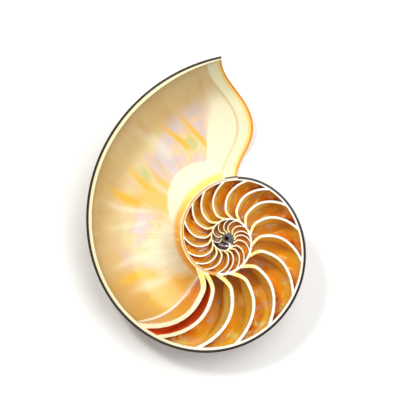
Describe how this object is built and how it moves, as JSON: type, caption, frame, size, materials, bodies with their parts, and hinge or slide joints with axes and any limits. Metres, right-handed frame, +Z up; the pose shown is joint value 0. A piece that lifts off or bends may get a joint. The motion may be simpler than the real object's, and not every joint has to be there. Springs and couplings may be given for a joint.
{
  "type": "nautilus shell half",
  "caption": "Chambered nautilus shell sawn in half along its coil: an open pearly body chamber, curved septa and a tight inner spiral, lying on its rounded flank.",
  "frame": {"origin": "on the surface it lies on, under the middle of its bounding box", "axes": "+Z up; +Y from the coil towards the tip of the mouth, +X to the right as one looks down on the sawn face, which leans a little towards -Y and -X"},
  "size_m": [0.1184, 0.1586, 0.0502],
  "materials": {
    "nacre_shell": "satin"
  },
  "bodies": {
    "root": {"shell_half": "nacre_shell"}
  },
  "joints": []
}
